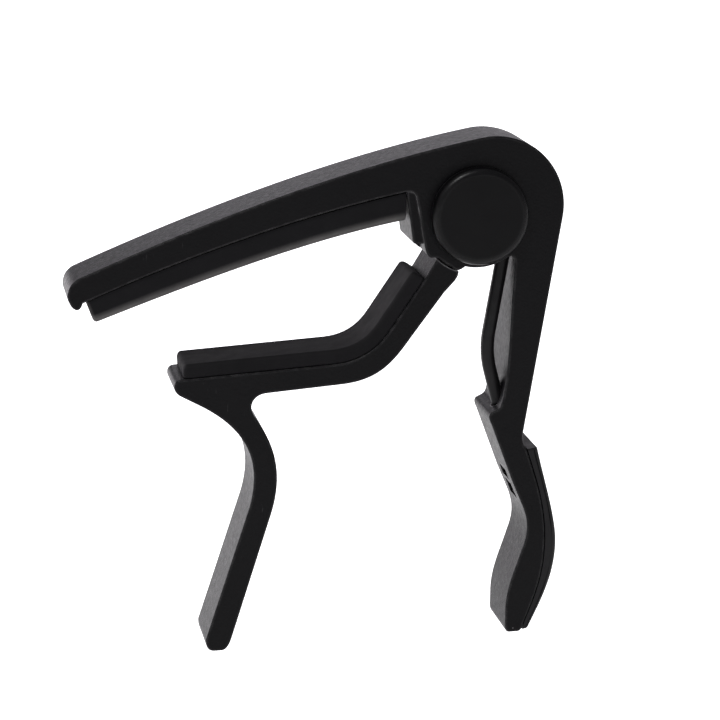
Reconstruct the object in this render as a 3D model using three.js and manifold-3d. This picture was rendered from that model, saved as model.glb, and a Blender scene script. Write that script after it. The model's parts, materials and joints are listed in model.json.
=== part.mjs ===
// Trigger-style guitar capo, in millimetres.
//
// The outlines are drawn in the X-Z plane around the pivot, which is the local
// origin: +X towards the trigger side, +Z up, +Y away from the front face and
// along the pivot axis. At the end everything is moved so that the capo stands
// on its two handle ends, with the centre of its bounding box over the origin.

import * as THREE from 'three';
import { mergeVertices } from 'three/addons/utils/BufferGeometryUtils.js';
import Module from 'manifold-3d';

const wasm = await Module();
wasm.setup();

// ---- driving dimensions ----------------------------------------------------

const BODY_DEPTH = 12.5;
const JAW_DEPTH = 12.0;
const STRING_PAD_DEPTH = 11.6;
const CRADLE_PAD_DEPTH = 11.5;
const GRIP_DEPTH = 12.1;
const BLOCK_DEPTH = 12; // the block between the head and the string pad
const FOOT_Z = -80;

const EDGE = 0.35; // rounding on the edges of the castings
const PAD_EDGE = 0.8; // rounding on the edges of the rubber pads
const CRADLE_PAD_THICK = 2.6; // from the seat to the pad's face
const GAP = 0.15; // clearance between pieces that are seated on each other

const CHEEK_R = 9.7; // round ends of the two cheeks around the pivot
const CHEEK_STEP_R = 10.55; // the same, on the side of the jaw's neck
const SLOT_HALF = 3.85; // half the width of the slot between the cheeks
const SLOT_R = 9.5;
const WALL_Z = -5.6; // underside of the wall that closes the slot towards the arm

const HUB_R = 9.2;
const HUB_HALF = 3.55;
const NECK_R = 10.9; // the full-depth part of the jaw starts outside this
const NECK_END = new THREE.Vector2( - 6.6, - 6.4 ); // where the neck's top meets the hub

const LEG_DRAFT = 0.3; // how far the leg's inner face leans over its depth

const WIRE_R = 1.25;
const COIL_R = 6.85;
const COIL_PITCH = 2.55;
const LONG_LEG_Y = -2.5;
const SHORT_LEG = 6.2;
const SHORT_LEG_ANGLE = THREE.MathUtils.degToRad( 200 ); // where it leaves the coil
const SPRING_TURN = THREE.MathUtils.degToRad( 569.9 );

const PIN_R = 2.5;
const PIN_HEAD_R = 4.2;
const BUSH_R = 3.5;
const CAP_R = 8.85;
const CAP_HEIGHT = 2.45;
const CAP_EDGE = 0.9;
const POST_RING_R = 7.1; // the caps' snap posts stand on this circle
const POST_R = 0.75;
const POST_COUNT = 3;

const SHORT_LEG_Y = LONG_LEG_Y + COIL_PITCH * SPRING_TURN / ( 2 * Math.PI );

const deg = THREE.MathUtils.degToRad;

// ---- solids ------------------------------------------------------------------

// Bare, welded and outward-facing: what manifold-3d needs.
function weld( geometry ) {

	const bare = geometry.clone();
	bare.deleteAttribute( 'normal' );
	bare.deleteAttribute( 'uv' );
	const welded = mergeVertices( bare, 1e-4 );
	const position = welded.attributes.position;
	const index = welded.index.array;
	const triangles = [];
	const a = new THREE.Vector3();
	const b = new THREE.Vector3();
	const c = new THREE.Vector3();
	let volume = 0;

	for ( let i = 0; i < index.length; i += 3 ) {

		const [ p, q, r ] = [ index[ i ], index[ i + 1 ], index[ i + 2 ] ];
		if ( p === q || q === r || r === p ) continue;
		a.fromBufferAttribute( position, p );
		b.fromBufferAttribute( position, q );
		c.fromBufferAttribute( position, r );
		volume += a.dot( b.cross( c ) );
		triangles.push( p, q, r );

	}

	if ( volume < 0 ) triangles.reverse();
	return { position: position.array, triangles };

}

function toManifold( geometry ) {

	const { position, triangles } = weld( geometry );
	return new wasm.Manifold( new wasm.Mesh( {
		numProp: 3,
		vertProperties: new Float32Array( position ),
		triVerts: new Uint32Array( triangles ),
	} ) );

}

function toGeometry( manifold ) {

	const mesh = manifold.getMesh();
	const geometry = new THREE.BufferGeometry();
	geometry.setAttribute( 'position', new THREE.BufferAttribute( mesh.vertProperties, 3 ) );
	geometry.setIndex( new THREE.BufferAttribute( mesh.triVerts, 1 ) );
	geometry.computeVertexNormals();
	return geometry;

}

// The outline as points, without the ones that fall on top of each other.
function cleaned( shape, curveSegments ) {

	const points = [];
	for ( const point of shape.getPoints( curveSegments ) ) {

		if ( points.every( ( other ) => other.distanceTo( point ) > 0.01 ) ) points.push( point );

	}

	return new THREE.Shape( points );

}

// Extrudes an X-Z outline along Y, from yLow to yHigh.
function plate( shape, yLow, yHigh, edge = 0, curveSegments = 16 ) {

	const geometry = new THREE.ExtrudeGeometry( cleaned( shape, curveSegments ), {
		depth: yHigh - yLow - 2 * edge,
		bevelEnabled: edge > 0,
		bevelThickness: edge,
		bevelSize: edge,
		bevelOffset: - edge,
		bevelSegments: 2,
	} );
	geometry.rotateX( Math.PI / 2 );
	geometry.translate( 0, yHigh - edge, 0 );
	return toManifold( geometry );

}

function slab( shape, depth, edge, curveSegments ) {

	return plate( shape, - depth / 2, depth / 2, edge, curveSegments );

}

// Revolves [radius, y] points around the pivot axis, or around a parallel one.
function turned( profile, segments = 64, x = 0, z = 0 ) {

	const points = profile.map( ( [ r, y ] ) => new THREE.Vector2( r, y ) );
	const geometry = new THREE.LatheGeometry( points, segments );
	geometry.translate( x, 0, z );
	return toManifold( geometry );

}

function rod( radius, yLow, yHigh, x = 0, z = 0, segments = 48 ) {

	const profile = [ [ 0, yLow ], [ radius, yLow ], [ radius, yHigh ], [ 0, yHigh ] ];
	return turned( profile, segments, x, z );

}

function box( xLow, xHigh, yLow, yHigh, zLow, zHigh ) {

	const geometry = new THREE.BoxGeometry( xHigh - xLow, yHigh - yLow, zHigh - zLow );
	geometry.translate( ( xLow + xHigh ) / 2, ( yLow + yHigh ) / 2, ( zLow + zHigh ) / 2 );
	return toManifold( geometry );

}

function polygon( points ) {

	return new THREE.Shape( points.map( ( [ x, z ] ) => new THREE.Vector2( x, z ) ) );

}

// ---- shared lines --------------------------------------------------------------

// Underside of the arm, from the head to the tip, which the string pad follows.
function armUnderside( shape ) {

	shape.lineTo( - 13.4, 4.55 );
	shape.bezierCurveTo( - 32.1, 1.1, - 53, - 5.8, - 70.6, - 13.1 );

}

// Seat of the cradle pad: a straight run, a bend and the slope up to the pivot.
const SEAT = {
	left: new THREE.Vector2( - 54.2, - 28.1 ),
	bendStart: new THREE.Vector2( - 26.5, - 26.55 ),
	bend: new THREE.Vector2( - 20.0, - 26.2 ),
	bendEnd: new THREE.Vector2( - 16.3, - 21.0 ),
	right: new THREE.Vector2( - 9.5, - 11.1 ),
};

// A point of the seat raised by `height` along the local normal of the pad.
function raised( point, along, height ) {

	const normal = new THREE.Vector2( - along.y, along.x ).normalize();
	return point.clone().addScaledVector( normal, height );

}

const SEAT_FLAT = SEAT.bendStart.clone().sub( SEAT.left );
const SEAT_SLOPE = SEAT.right.clone().sub( SEAT.bendEnd );
const NECK_TOP = NECK_END.clone().sub( SEAT.right );

// Outer face of the trigger handle, from the top of the grip down, and its offset.
function gripSeat( shape, offset = 0 ) {

	shape.bezierCurveTo(
		10.9 + offset, - 48.6, 13.4 + offset, - 54.4, 13.4 + offset, - 62 );
	shape.bezierCurveTo(
		13.4 + offset, - 69, 11.7 + offset, - 73, 9.6 + offset, - 78.3 );

}

// ---- fixed frame -----------------------------------------------------------------

function frameOutline() {

	const shape = new THREE.Shape();

	// hook at the tip, then the long curved back of the arm
	shape.moveTo( - 71.3, - 13.35 );
	shape.quadraticCurveTo( - 71.7, - 14.7, - 72.5, - 14.55 );
	shape.quadraticCurveTo( - 73.5, - 14.2, - 74.0, - 12.4 );
	shape.quadraticCurveTo( - 74.1, - 10.1, - 72.1, - 8.95 );
	shape.bezierCurveTo( - 48.4, 0.97, - 22.6, 9.9, 1.32, 14.1 );

	// round head and the long outer face of the leg
	shape.absarc( 2.9, 1.2, 13, deg( 97 ), deg( - 9.7 ), true );
	shape.lineTo( 8.95, - 41.3 );
	shape.quadraticCurveTo( 8.75, - 43.3, 9.65, - 44.3 );

	// trigger handle, its foot and its inner face
	gripSeat( shape );
	shape.quadraticCurveTo( 9.35, FOOT_Z, 8.4, FOOT_Z );
	shape.lineTo( 6.8, FOOT_Z );
	shape.quadraticCurveTo( 6.05, FOOT_Z, 6, - 78.6 );
	shape.lineTo( 6.05, - 75.5 );
	shape.bezierCurveTo( 6.1, - 71.3, 7.7, - 68, 9.1, - 63.6 );
	shape.bezierCurveTo( 10.3, - 60.4, 10.3, - 58.4, 9, - 55.2 );
	shape.lineTo( 7, - 50.4 );
	shape.lineTo( 2.85, - 39.1 );

	// ledge for the spring and the inner face of the leg
	shape.quadraticCurveTo( 1.9, - 37.3, 3.2, - 36.9 );
	shape.lineTo( 4.0, - 36.5 );
	shape.bezierCurveTo( 4.9, - 36, 5.15, - 33.6, 5.42, - 31.9 );
	shape.quadraticCurveTo( 5.85, - 29.2, 6.08, - 25 );
	shape.lineTo( 6.5, - 15.9 );
	shape.lineTo( 6.9, - 9.4 );

	// cheeks: round the pivot, a step at the jaw's neck and the lobe beyond it
	shape.quadraticCurveTo( 6.95, - 7.1, CHEEK_R * Math.cos( deg( - 58 ) ), CHEEK_R * Math.sin( deg( - 58 ) ) );
	shape.absarc( 0, 0, CHEEK_R, deg( - 58 ), deg( - 104 ), true );
	shape.quadraticCurveTo( - 3.8, - 10.7, - 4.9, - 9.35 );
	shape.absarc( 0, 0, CHEEK_STEP_R, deg( - 118 ), deg( - 133 ), true );
	shape.quadraticCurveTo( - 7.9, - 7.5, - 8.6, - 7.6 );
	shape.quadraticCurveTo( - 9.5, - 7.3, - 9.85, - 5.5 );

	// edge of the head up to the arm
	shape.lineTo( - 10.74, 0.04 );
	shape.lineTo( - 11.35, 3.4 );
	shape.quadraticCurveTo( - 11.6, 4.9, - 13.4, 4.55 );
	armUnderside( shape );
	return shape;

}

// Block that stands beside the string pad's end, set back from the cheeks' faces.
function headBlock() {

	const shape = new THREE.Shape();
	shape.moveTo( - 13.2, 6 );
	shape.lineTo( - 13.15, 4.6 );
	shape.lineTo( - 12.67, 0.65 );
	shape.lineTo( - 12, - 4.4 );
	shape.quadraticCurveTo( - 11.9, - 5, - 11.3, - 5 );
	shape.lineTo( - 8, - 5 );
	shape.lineTo( - 8, 6 );
	return slab( shape, BLOCK_DEPTH, EDGE, 12 );

}

// Room between the cheeks for the hub and the neck's travel, with the lug that stops it.
function frameSlot() {

	const neckWay = plate( polygon( [
		[ 7.1, - 6.3 ],
		[ 7.1, - 9.2 ],
		[ 6.5, - 10 ],
		[ 6.5, - 14 ],
		[ - 14, - 14 ],
		[ - 14, WALL_Z ],
		[ - 9.4, WALL_Z ],
		[ - 8.7, - 6.6 ],
		[ - 8.6, - 8 ],
		raised( SEAT.right.clone().lerp( NECK_END, 0.66 ), NECK_TOP, GAP ).toArray(),
		raised( NECK_END, NECK_TOP, GAP ).toArray(),
	] ), - SLOT_HALF, SLOT_HALF, 0 );
	return rod( SLOT_R, - SLOT_HALF, SLOT_HALF, 0, 0, 96 ).add( neckWay );

}

// Channel in the underside of the arm that holds the string pad's rib.
function padChannel() {

	const shape = new THREE.Shape();
	shape.moveTo( - 13.8, 6.2 );
	shape.bezierCurveTo( - 32.3, 2.6, - 53.2, - 4.2, - 69.8, - 11 );
	shape.lineTo( - 70.4, - 14.5 );
	shape.bezierCurveTo( - 53.6, - 8, - 32, - 1, - 13.8, 2.5 );
	return plate( shape, - 3.9, 3.9, 0, 16 );

}

// Two windows through the trigger handle for the grip's snap tabs.
const TAB_WINDOWS = [ [ - 51.3, - 49.2 ], [ - 55, - 52 ] ];
const TAB_HALF = 2.6;

// Casting draft: the rear edge of the leg's inner face stands nearer to the lever.
function draftLeg( point ) {

	const [ x, y, z ] = point;
	if ( x < 0 || x > 7.3 || z > - 11 || z < - 36 ) return;
	const ease = Math.min( ( - 11 - z ) / 13, 1 ) * Math.min( ( z + 36 ) / 3, 1 );
	point[ 0 ] -= LEG_DRAFT * ease * ( y / BODY_DEPTH + 0.5 );

}

// Round seat in the leg and the ledge for the lower end of the spring's long leg.
function legSeat() {

	const { kneeEnd, foot } = new SpringLine();
	const up = kneeEnd.clone().sub( foot );
	const depth = 8;
	const below = 0.3;
	const seat = new THREE.CylinderGeometry( WIRE_R + GAP, WIRE_R + GAP, depth, 24 );
	seat.rotateX( Math.PI / 2 );
	seat.translate( 0, 0, depth / 2 - below );
	seat.rotateY( Math.atan2( up.x, up.y ) );
	seat.translate( foot.x, LONG_LEG_Y, foot.y );
	return toManifold( seat );

}

function frameCasting() {

	let body = slab( frameOutline(), BODY_DEPTH, EDGE, 12 ).warp( draftLeg );
	body = body.add( headBlock() );
	body = body.subtract( frameSlot() );
	body = body.subtract( padChannel() );
	body = body.subtract( rod( PIN_R + GAP, - BODY_DEPTH, BODY_DEPTH ) );

	for ( const side of [ - 1, 1 ] ) {

		const face = side * BODY_DEPTH / 2;
		const [ low, high ] = [ face - side * 0.6, face + side * 1 ].sort( ( a, b ) => a - b );
		body = body.subtract( rod( 5.8, low, high ) );
		const [ deep, out ] = [ face - side * 1.5, face + side * 1 ].sort( ( a, b ) => a - b );
		for ( const [ x, z ] of postPlaces() ) {

			body = body.subtract( rod( POST_R + GAP, deep, out, x, z, 20 ) );

		}

	}

	for ( const [ low, high ] of TAB_WINDOWS ) {

		body = body.subtract( box( 2, 15, - TAB_HALF, TAB_HALF, low, high ) );

	}

	return body.subtract( legSeat() );

}

function postPlaces() {

	return Array.from( { length: POST_COUNT }, ( _, i ) => {

		const angle = deg( 90 + i * 360 / POST_COUNT );
		return [ POST_RING_R * Math.cos( angle ), POST_RING_R * Math.sin( angle ) ];

	} );

}

// ---- jaw with its lever ------------------------------------------------------------

function jawOutline() {

	const shape = new THREE.Shape();
	shape.moveTo( SEAT.left.x, SEAT.left.y );
	shape.lineTo( SEAT.bendStart.x, SEAT.bendStart.y );
	shape.quadraticCurveTo( SEAT.bend.x, SEAT.bend.y, SEAT.bendEnd.x, SEAT.bendEnd.y );
	shape.lineTo( SEAT.right.x, SEAT.right.y );

	// top of the neck, its end inside the hub and its underside
	shape.lineTo( NECK_END.x, NECK_END.y );
	shape.lineTo( - 3.1, - 8.7 );
	shape.lineTo( - 3.55, - 10.9 );
	shape.quadraticCurveTo( - 3.8, - 11.7, - 4.6, - 12.5 );
	shape.lineTo( - 6.1, - 14.1 );
	shape.lineTo( - 12.2, - 22.2 );
	shape.bezierCurveTo( - 15.4, - 26.6, - 18, - 29.9, - 25, - 30.4 );
	shape.lineTo( - 38.9, - 31.4 );

	// inner fillet, then the inner face of the lever down to its foot
	shape.bezierCurveTo( - 41.2, - 31.65, - 42.2, - 33.7, - 41, - 35.5 );
	shape.bezierCurveTo( - 37.6, - 40.6, - 35.4, - 46.2, - 38.3, - 54.8 );
	shape.lineTo( - 45.6, - 77.4 );
	shape.quadraticCurveTo( - 46.4, FOOT_Z, - 47.6, FOOT_Z );
	shape.lineTo( - 48.9, FOOT_Z );
	shape.quadraticCurveTo( - 50.6, FOOT_Z, - 50.5, - 77.6 );

	// outer face of the lever and the underside of the nose
	shape.lineTo( - 42.3, - 53.2 );
	shape.bezierCurveTo( - 39.8, - 45.2, - 41.5, - 38.6, - 50.4, - 33.4 );
	shape.lineTo( - 54.2, - 31.3 );
	shape.bezierCurveTo( - 55.8, - 30.5, - 56, - 28.2, SEAT.left.x, SEAT.left.y );
	return shape;

}

// Ring-shaped pocket around the hub's centre, open at the front, for the coil.
function coilPocket() {

	const floor = SHORT_LEG_Y + WIRE_R + GAP;
	return turned( [
		[ COIL_R - WIRE_R - 0.25, - 6 ],
		[ COIL_R + WIRE_R + 0.2, - 6 ],
		[ COIL_R + WIRE_R + 0.2, floor ],
		[ COIL_R - WIRE_R - 0.25, floor ],
		[ COIL_R - WIRE_R - 0.25, - 6 ],
	], 72 );

}

// Notch in the hub's wall for the long leg, wide enough for the jaw's travel.
function legNotch() {

	const reach = HUB_R + 3;
	const notch = new THREE.Shape();
	notch.moveTo( 0, 0 );
	notch.absarc( 0, 0, reach, deg( - 96 ), deg( 6 ), false );
	notch.lineTo( 0, 0 );
	const wedge = plate( notch, - 6, LONG_LEG_Y + WIRE_R + 0.5, 0, 20 );
	return wedge.subtract( rod( COIL_R - WIRE_R - 0.25, - 7, 7 ) );

}

function jawCasting() {

	let body = slab( jawOutline(), JAW_DEPTH, EDGE, 16 );

	// beside the cheeks the neck thins to a tongue that fits the slot
	body = body.subtract( rod( NECK_R, - BODY_DEPTH, - HUB_HALF, 0, 0, 96 ) );
	body = body.subtract( rod( NECK_R, HUB_HALF, BODY_DEPTH, 0, 0, 96 ) );
	body = body.add( rod( HUB_R, - HUB_HALF, HUB_HALF, 0, 0, 96 ) );
	body = body.subtract( coilPocket() );
	body = body.subtract( legNotch() );
	body = body.subtract( rod( BUSH_R + 0.05, - BODY_DEPTH, BODY_DEPTH ) );
	body = body.subtract( shortLegHole() );
	body = body.subtract( cradleGroove() );
	return body;

}

// Blind hole down the neck for the spring's short leg.
function shortLegHole() {

	const depth = SHORT_LEG + 0.2;
	const hole = new THREE.CylinderGeometry( WIRE_R + 0.08, WIRE_R + 0.08, depth, 24 );
	hole.rotateX( Math.PI / 2 );
	hole.translate( - COIL_R, SHORT_LEG_Y, - depth / 2 );
	hole.rotateY( Math.PI - SHORT_LEG_ANGLE );
	return toManifold( hole );

}

// Groove in the straight part of the seat that takes the cradle pad's rib.
function cradleGroove() {

	const down = - 1.2;
	const left = SEAT.left.clone().lerp( SEAT.bendStart, 0.12 );
	const right = SEAT.left.clone().lerp( SEAT.bendStart, 0.95 );
	return plate( polygon( [
		raised( left, SEAT_FLAT, 1 ).toArray(),
		raised( left, SEAT_FLAT, down ).toArray(),
		raised( right, SEAT_FLAT, down ).toArray(),
		raised( right, SEAT_FLAT, 1 ).toArray(),
	] ), - 2.2, 2.2, 0 );

}

// ---- rubber parts ---------------------------------------------------------------------

function stringPad() {

	const face = new THREE.Shape();
	face.moveTo( - 13.3, 4.3 );
	face.bezierCurveTo( - 32, 0.95, - 53, - 5.95, - 70.75, - 13.3 );
	face.lineTo( - 69.9, - 16.2 );
	face.quadraticCurveTo( - 69.5, - 17.2, - 68.4, - 16.9 );
	face.bezierCurveTo( - 51.8, - 10.9, - 31.4, - 3.7, - 13.6, - 0.7 );
	let pad = slab( face, STRING_PAD_DEPTH, PAD_EDGE, 24 );

	const rib = new THREE.Shape();
	rib.moveTo( - 14.4, 5.8 );
	rib.bezierCurveTo( - 32.5, 2.3, - 53, - 4.6, - 69, - 11.1 );
	rib.lineTo( - 69.4, - 14 );
	rib.bezierCurveTo( - 53.6, - 8.2, - 32, - 1.6, - 14.4, 2.4 );
	pad = pad.add( plate( rib, - 3.6, 3.6, 0, 24 ) );
	return pad;

}

function cradlePad() {

	const left = SEAT.left.clone().lerp( SEAT.bendStart, 0.02 );
	const right = SEAT.right.clone().lerp( SEAT.bendEnd, 0.03 );
	const at = ( point, along, height ) => raised( point, along, height ).toArray();
	const bendSlope = SEAT.right.clone().sub( SEAT.left );

	const shape = new THREE.Shape();
	shape.moveTo( ...at( left, SEAT_FLAT, GAP ) );
	shape.lineTo( ...at( SEAT.bendStart, SEAT_FLAT, GAP ) );
	shape.quadraticCurveTo(
		...at( SEAT.bend, bendSlope, GAP ), ...at( SEAT.bendEnd, SEAT_SLOPE, GAP ) );
	shape.lineTo( ...at( right, SEAT_SLOPE, GAP ) );
	shape.lineTo( ...at( right, SEAT_SLOPE, CRADLE_PAD_THICK - 1 ) );
	shape.quadraticCurveTo(
		...at( right, SEAT_SLOPE, CRADLE_PAD_THICK ),
		...at( right.clone().lerp( SEAT.bendEnd, 0.1 ), SEAT_SLOPE, CRADLE_PAD_THICK ) );
	shape.lineTo( ...at( SEAT.bendEnd, SEAT_SLOPE, CRADLE_PAD_THICK ) );
	shape.quadraticCurveTo(
		...at( SEAT.bend, bendSlope, CRADLE_PAD_THICK * 1.12 ), ...at( SEAT.bendStart, SEAT_FLAT, CRADLE_PAD_THICK ) );
	shape.lineTo( ...at( left.clone().lerp( SEAT.bendStart, 0.04 ), SEAT_FLAT, CRADLE_PAD_THICK ) );
	shape.quadraticCurveTo(
		...at( left, SEAT_FLAT, CRADLE_PAD_THICK ), ...at( left, SEAT_FLAT, CRADLE_PAD_THICK - 1 ) );
	let pad = slab( shape, CRADLE_PAD_DEPTH, 0.6, 14 );

	const ribLeft = SEAT.left.clone().lerp( SEAT.bendStart, 0.14 );
	const ribRight = SEAT.left.clone().lerp( SEAT.bendStart, 0.93 );
	pad = pad.add( plate( polygon( [
		at( ribLeft, SEAT_FLAT, 1 ),
		at( ribLeft, SEAT_FLAT, - 0.9 ),
		at( ribRight, SEAT_FLAT, - 0.9 ),
		at( ribRight, SEAT_FLAT, 1 ),
	] ), - 1.9, 1.9, 0 ) );
	return pad;

}

function handleGrip() {

	const shape = new THREE.Shape();
	shape.moveTo( 9.65 + GAP + 0.1, - 44.4 );
	gripSeat( shape, GAP );
	shape.lineTo( 9.45, - 79.7 );
	shape.lineTo( 10.45, - 79.55 );
	shape.bezierCurveTo( 13.9, - 72.9, 15.75, - 68.6, 15.75, - 62.6 );
	shape.bezierCurveTo( 15.65, - 57.8, 13.5, - 51.6, 11.85, - 44.15 );
	let grip = slab( shape, GRIP_DEPTH, 0.35, 16 );

	for ( const [ low, high ] of TAB_WINDOWS ) {

		const middle = ( low + high ) / 2;
		const outer = 12 + ( - 50.25 - middle ) * 0.25;
		const inner = 8 + ( - 50.25 - middle ) * 0.37;
		const tab = box( inner, outer, - TAB_HALF + 0.2, TAB_HALF - 0.2, low + 0.2, high - 0.2 );
		grip = grip.add( tab );

	}

	return grip;

}

// ---- pivot hardware ---------------------------------------------------------------------

// Centre line of the spring, from the end of its short leg to the end of its long leg.
class SpringLine extends THREE.Curve {

	constructor() {

		super();
		this.arcLengthDivisions = 1200;
		this.start = new THREE.Vector2( Math.cos( SHORT_LEG_ANGLE ), Math.sin( SHORT_LEG_ANGLE ) );
		this.out = new THREE.Vector2( - this.start.y, this.start.x );
		this.start.multiplyScalar( COIL_R );
		const exit = SHORT_LEG_ANGLE - SPRING_TURN;
		this.exit = new THREE.Vector2( Math.cos( exit ), Math.sin( exit ) ).multiplyScalar( COIL_R );
		this.down = new THREE.Vector2( Math.sin( exit ), - Math.cos( exit ) );
		this.coil = SPRING_TURN * COIL_R;
		this.upper = 21.4;
		this.kneeStart = this.exit.clone().addScaledVector( this.down, this.upper );
		this.knee = this.exit.clone().addScaledVector( this.down, 25.3 );
		this.foot = new THREE.Vector2( 4.98, - 36.2 );
		this.kneeEnd = this.knee.clone().lerp( this.foot, 0.36 );
		this.bend = ( this.kneeStart.distanceTo( this.kneeEnd )
			+ this.kneeStart.distanceTo( this.knee ) + this.knee.distanceTo( this.kneeEnd ) ) / 2;
		this.lower = this.kneeEnd.distanceTo( this.foot );
		this.total = SHORT_LEG + this.coil + this.upper + this.bend + this.lower;

	}

	getPoint( t, target = new THREE.Vector3() ) {

		let s = t * this.total;
		const flat = new THREE.Vector2();
		if ( s <= SHORT_LEG ) {

			flat.copy( this.start ).addScaledVector( this.out, SHORT_LEG - s );
			return target.set( flat.x, SHORT_LEG_Y, flat.y );

		}

		s -= SHORT_LEG;
		if ( s <= this.coil ) {

			const turn = s / COIL_R;
			const y = SHORT_LEG_Y - COIL_PITCH * turn / ( 2 * Math.PI );
			const angle = SHORT_LEG_ANGLE - turn;
			return target.set( COIL_R * Math.cos( angle ), y, COIL_R * Math.sin( angle ) );

		}

		s -= this.coil;
		if ( s <= this.upper ) {

			flat.copy( this.exit ).addScaledVector( this.down, s );

		} else if ( s <= this.upper + this.bend ) {

			const u = ( s - this.upper ) / this.bend;
			flat.copy( this.kneeStart ).multiplyScalar( ( 1 - u ) ** 2 );
			flat.addScaledVector( this.knee, 2 * u * ( 1 - u ) );
			flat.addScaledVector( this.kneeEnd, u * u );

		} else {

			const u = ( s - this.upper - this.bend ) / this.lower;
			flat.copy( this.kneeEnd ).lerp( this.foot, u );

		}

		return target.set( flat.x, LONG_LEG_Y, flat.y );

	}

}

function torsionSpring() {

	const section = new THREE.Shape();
	section.absarc( 0, 0, WIRE_R, 0, 2 * Math.PI, false );
	const geometry = new THREE.ExtrudeGeometry( section, {
		steps: 130,
		curveSegments: 6,
		bevelEnabled: false,
		extrudePath: new SpringLine(),
	} );
	return toManifold( geometry );

}

function pivotPin() {

	const face = BODY_DEPTH / 2 + 0.3;
	return turned( [
		[ 0, - face - 1.05 ],
		[ 2.6, - face - 1 ],
		[ PIN_HEAD_R, - face - 0.5 ],
		[ PIN_HEAD_R, - face ],
		[ PIN_R, - face ],
		[ PIN_R, face ],
		[ PIN_HEAD_R, face ],
		[ PIN_HEAD_R, face + 0.5 ],
		[ 2.6, face + 1 ],
		[ 0, face + 1.05 ],
	], 48 );

}

function pivotBush() {

	return turned( [
		[ PIN_R + 0.08, - HUB_HALF - 0.1 ],
		[ BUSH_R, - HUB_HALF - 0.1 ],
		[ BUSH_R, HUB_HALF + 0.1 ],
		[ PIN_R + 0.08, HUB_HALF + 0.1 ],
		[ PIN_R + 0.08, - HUB_HALF - 0.1 ],
	], 48 );

}

function pinWasher( side ) {

	const inner = BODY_DEPTH / 2 - 0.6 + 0.1;
	const [ low, high ] = [ side * inner, side * ( inner + 0.7 ) ].sort( ( a, b ) => a - b );
	return turned( [
		[ PIN_R + GAP, low ],
		[ 5.5, low ],
		[ 5.5, high ],
		[ PIN_R + GAP, high ],
		[ PIN_R + GAP, low ],
	], 48 );

}

// Round cover with a rounded rim, hollow over the pin's head, on three snap posts.
function hubCap( side ) {

	const seat = BODY_DEPTH / 2 + 0.15;
	const top = seat + CAP_HEIGHT;
	const rim = [];
	for ( let i = 0; i <= 5; i ++ ) {

		const angle = deg( i * 90 / 5 );
		rim.push( [
			CAP_R - CAP_EDGE + CAP_EDGE * Math.cos( angle ),
			top - CAP_EDGE + CAP_EDGE * Math.sin( angle ),
		] );

	}

	const profile = [ [ 0, top - 1.05 ], [ 5.7, top - 1.05 ], [ 5.9, seat ], [ CAP_R, seat ], ...rim, [ 0, top ] ];
	let cap = turned( profile.map( ( [ r, y ] ) => [ r, side * y ] ), 96 );

	for ( const [ x, z ] of postPlaces() ) {

		const [ low, high ] = [ side * ( seat - 1.4 ), side * ( seat + 0.5 ) ].sort( ( a, b ) => a - b );
		cap = cap.add( rod( POST_R, low, high, x, z, 20 ) );

	}

	return cap;

}

// ---- assembly ------------------------------------------------------------------------------

const FINISHES = {
	powder_coat: { color: 0x1b1b1d, roughness: 0.55, metalness: 0.3 },
	pad_rubber: { color: 0x151516, roughness: 0.8, metalness: 0 },
	grip_rubber: { color: 0x161617, roughness: 0.7, metalness: 0 },
	cap_plastic: { color: 0x18181a, roughness: 0.4, metalness: 0 },
	spring_steel: { color: 0x26262a, roughness: 0.35, metalness: 0.9 },
	zinc_steel: { color: 0xa9abb0, roughness: 0.35, metalness: 1 },
	bearing_plastic: { color: 0xd8d5c8, roughness: 0.5, metalness: 0 },
};

const PARTS = [
	[ 'frame_casting', frameCasting(), 'powder_coat' ],
	[ 'jaw_lever_casting', jawCasting(), 'powder_coat' ],
	[ 'string_pad', stringPad(), 'pad_rubber' ],
	[ 'cradle_pad', cradlePad(), 'pad_rubber' ],
	[ 'handle_grip', handleGrip(), 'grip_rubber' ],
	[ 'torsion_spring', torsionSpring(), 'spring_steel' ],
	[ 'pivot_pin', pivotPin(), 'zinc_steel' ],
	[ 'pivot_bush', pivotBush(), 'bearing_plastic' ],
	[ 'front_washer', pinWasher( - 1 ), 'zinc_steel' ],
	[ 'rear_washer', pinWasher( 1 ), 'zinc_steel' ],
	[ 'front_cap', hubCap( - 1 ), 'cap_plastic' ],
	[ 'rear_cap', hubCap( 1 ), 'cap_plastic' ],
];

const capo = new THREE.Group();
capo.name = 'guitar_capo';

for ( const [ name, solid, finish ] of PARTS ) {

	const material = new THREE.MeshStandardMaterial( FINISHES[ finish ] );
	material.name = finish;
	const mesh = new THREE.Mesh( toGeometry( solid ), material );
	mesh.name = name;
	capo.add( mesh );

}

// Stand the capo on its feet, over the centre of its bounding box.
const bounds = new THREE.Box3().setFromObject( capo );
const centre = bounds.getCenter( new THREE.Vector3() );
for ( const mesh of capo.children ) mesh.geometry.translate( - centre.x, - centre.y, - bounds.min.z );

export default capo;
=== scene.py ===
"""Looks of the trigger-style guitar capo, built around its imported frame.

Outlines are in millimetres in the X-Z plane around the pivot, as on the castings' drawing, and Y is measured
from the middle of the body: the front face is at negative Y. placed() turns a drawing point into metres.
"""

import json
import math

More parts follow.
